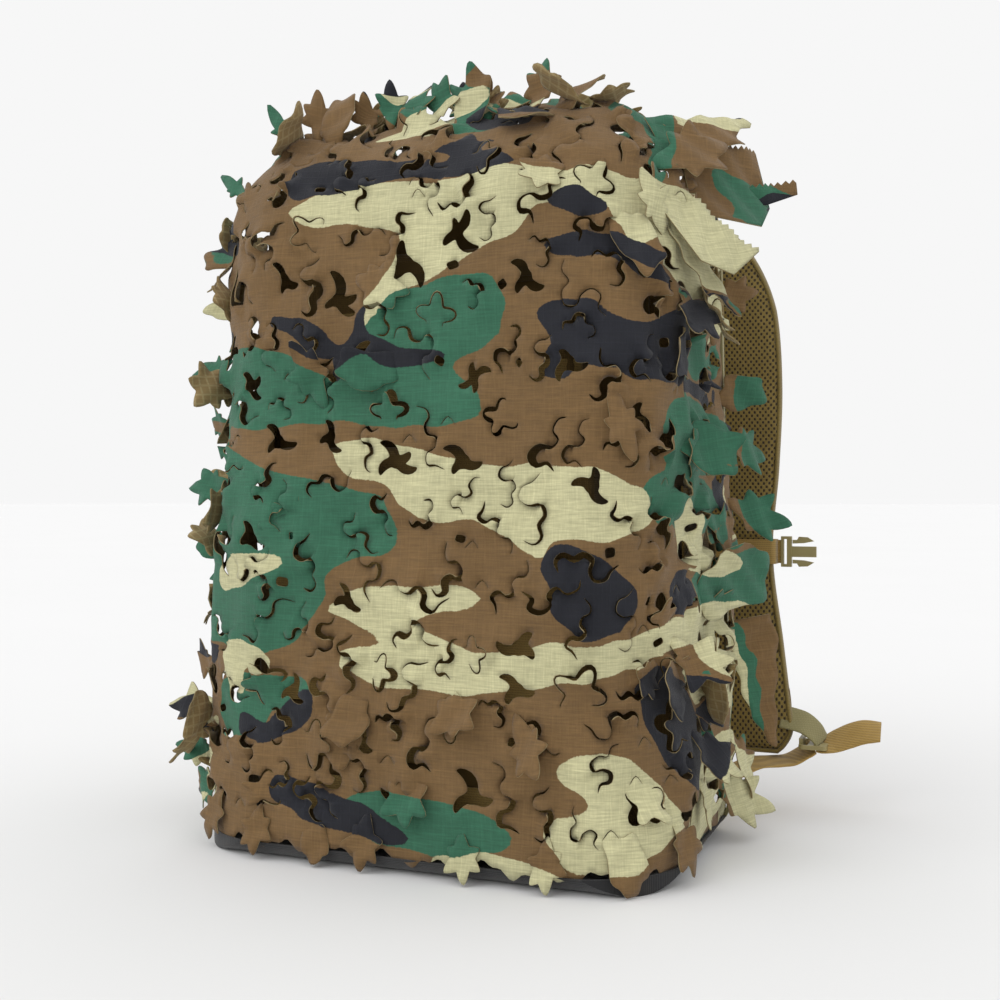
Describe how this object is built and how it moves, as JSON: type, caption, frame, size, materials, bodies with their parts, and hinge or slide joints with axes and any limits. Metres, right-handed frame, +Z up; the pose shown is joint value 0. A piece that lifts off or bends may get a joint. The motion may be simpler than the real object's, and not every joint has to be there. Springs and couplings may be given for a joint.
{
  "type": "camouflage backpack cover on a day pack",
  "caption": "Padded day pack in a laser-cut leaf camouflage cover that slips off, with adjustable shoulder straps and a sternum buckle.",
  "frame": {"origin": "centre of the base, on the surface that the pack stands on", "axes": "+X across the pack to its right seen from the front, -Y out of the front pockets, +Y to the wearer, +Z up"},
  "size_m": [0.5668, 0.3027, 0.5569],
  "materials": {
    "camouflage_cloth": "matt printed ripstop",
    "black_cloth": "matt",
    "hem_tape": "matt",
    "elastic_cord": "braided",
    "pack_nylon": "coated nylon",
    "back_mesh": "spacer mesh",
    "frame_sheet": "satin",
    "zip_tape": "woven",
    "webbing": "woven",
    "buckle_plastic": "moulded",
    "grip_rubber": "matt",
    "zip_metal": "painted",
    "pull_cord": "woven"
  },
  "bodies": {
    "pack": {"bag_shell": "pack_nylon", "front_panel": "pack_nylon", "main_zip": "zip_tape", "frame_sheet": "frame_sheet", "lower_pocket": "pack_nylon", "lower_pocket_zip": "zip_tape", "lower_pocket_webbing": "webbing", "upper_pocket": "pack_nylon", "upper_pocket_zip": "zip_tape", "upper_pocket_webbing": "webbing", "side_webbing": "webbing", "compression_straps": "webbing", "compression_buckles": "buckle_plastic", "back_panel": "back_mesh", "back_pads": "back_mesh", "lumbar_pad": "back_mesh", "strap_yokes": "pack_nylon", "lower_anchors": "pack_nylon", "lower_webbing_right": "webbing", "lower_webbing_left": "webbing"},
    "cover": {"cover_leaf_cloth": "camouflage_cloth", "cover_base_band": "black_cloth", "cover_hem_binding": "hem_tape", "cover_edge_cord": "elastic_cord", "crown_leaves": "camouflage_cloth", "left_edge_leaves": "camouflage_cloth", "right_edge_leaves": "camouflage_cloth", "hem_leaves": "camouflage_cloth"},
    "strap_right": {"strap_foam_right": "pack_nylon", "strap_mesh_lining_right": "back_mesh", "strap_daisy_webbing_right": "webbing", "ladder_lock_right": "buckle_plastic", "strap_end_tab_right": "webbing", "strap_tail_right": "webbing"},
    "strap_left": {"strap_foam_left": "pack_nylon", "strap_mesh_lining_left": "back_mesh", "strap_daisy_webbing_left": "webbing", "ladder_lock_left": "buckle_plastic", "strap_end_tab_left": "webbing", "strap_tail_left": "webbing"},
    "sternum_loop_right": {"sternum_slider_right": "webbing"},
    "sternum_loop_left": {"sternum_slider_left": "webbing"},
    "sternum_plug": {"plug_webbing": "webbing", "plug_body": "buckle_plastic"},
    "prong_upper": {"plug_prong_upper": "buckle_plastic"},
    "prong_lower": {"plug_prong_lower": "buckle_plastic"},
    "sternum_socket": {"socket_webbing": "webbing", "socket_body": "buckle_plastic"},
    "haul_handle": {"haul_loop": "webbing", "haul_grip": "grip_rubber"},
    "main_zip_right": {"main_right_slider": "zip_metal", "main_right_pull": "pull_cord"},
    "main_zip_left": {"main_left_slider": "zip_metal", "main_left_pull": "pull_cord"},
    "lower_zip": {"lower_slider": "zip_metal", "lower_pull": "pull_cord"},
    "upper_zip": {"upper_slider": "zip_metal", "upper_pull": "pull_cord"}
  },
  "joints": [
    {"name": "cover_off", "type": "slide", "parent": "pack", "child": "cover", "axis": [0, -1, 0], "range_m": [0, 0.32]},
    {"name": "strap_swing_right", "type": "hinge", "parent": "pack", "child": "strap_right", "pos_m": [0.082, 0.107, 0.45], "axis": [1, 0, 0], "range_deg": [-4, 8]},
    {"name": "strap_swing_left", "type": "hinge", "parent": "pack", "child": "strap_left", "pos_m": [-0.082, 0.107, 0.45], "axis": [1, 0, 0], "range_deg": [-4, 8]},
    {"name": "sternum_height_right", "type": "slide", "parent": "strap_right", "child": "sternum_loop_right", "axis": [0, 0, 1], "range_m": [-0.02, 0.02]},
    {"name": "sternum_height_left", "type": "slide", "parent": "strap_left", "child": "sternum_loop_left", "axis": [0, 0, 1], "range_m": [-0.02, 0.02]},
    {"name": "plug_swing", "type": "hinge", "parent": "sternum_loop_right", "child": "sternum_plug", "pos_m": [0.20275, 0.18901, 0.20688], "axis": [0, 0, 1], "range_deg": [-60, 60]},
    {"name": "socket_swing", "type": "hinge", "parent": "sternum_loop_left", "child": "sternum_socket", "pos_m": [-0.20275, 0.18901, 0.20688], "axis": [0, 0, 1], "range_deg": [-40, 40]},
    {"name": "prong_squeeze_upper", "type": "hinge", "parent": "sternum_plug", "child": "prong_upper", "pos_m": [0.21355, 0.18901, 0.21498], "axis": [0, 1, 0], "range_deg": [0, 8], "stiffness_Nm_per_rad": 0.02},
    {"name": "prong_squeeze_lower", "type": "hinge", "parent": "sternum_plug", "child": "prong_lower", "pos_m": [0.21355, 0.18901, 0.19878], "axis": [0, -1, 0], "range_deg": [0, 8], "stiffness_Nm_per_rad": 0.02},
    {"name": "haul_handle_swing", "type": "hinge", "parent": "pack", "child": "haul_handle", "pos_m": [0, 0.105, 0.482], "axis": [1, 0, 0], "range_deg": [0, 150]},
    {"name": "main_zip_run_right", "type": "slide", "parent": "pack", "child": "main_zip_right", "axis": [0, 0, 1], "range_m": [-0.225, 0.1]},
    {"name": "main_zip_run_left", "type": "slide", "parent": "pack", "child": "main_zip_left", "axis": [0, 0, 1], "range_m": [-0.225, 0.1]},
    {"name": "lower_pocket_zip_run", "type": "slide", "parent": "pack", "child": "lower_zip", "axis": [-1, 0, 0], "range_m": [-0.03, 0.15]},
    {"name": "upper_pocket_zip_run", "type": "slide", "parent": "pack", "child": "upper_zip", "axis": [1, 0, 0], "range_m": [-0.03, 0.11]}
  ]
}
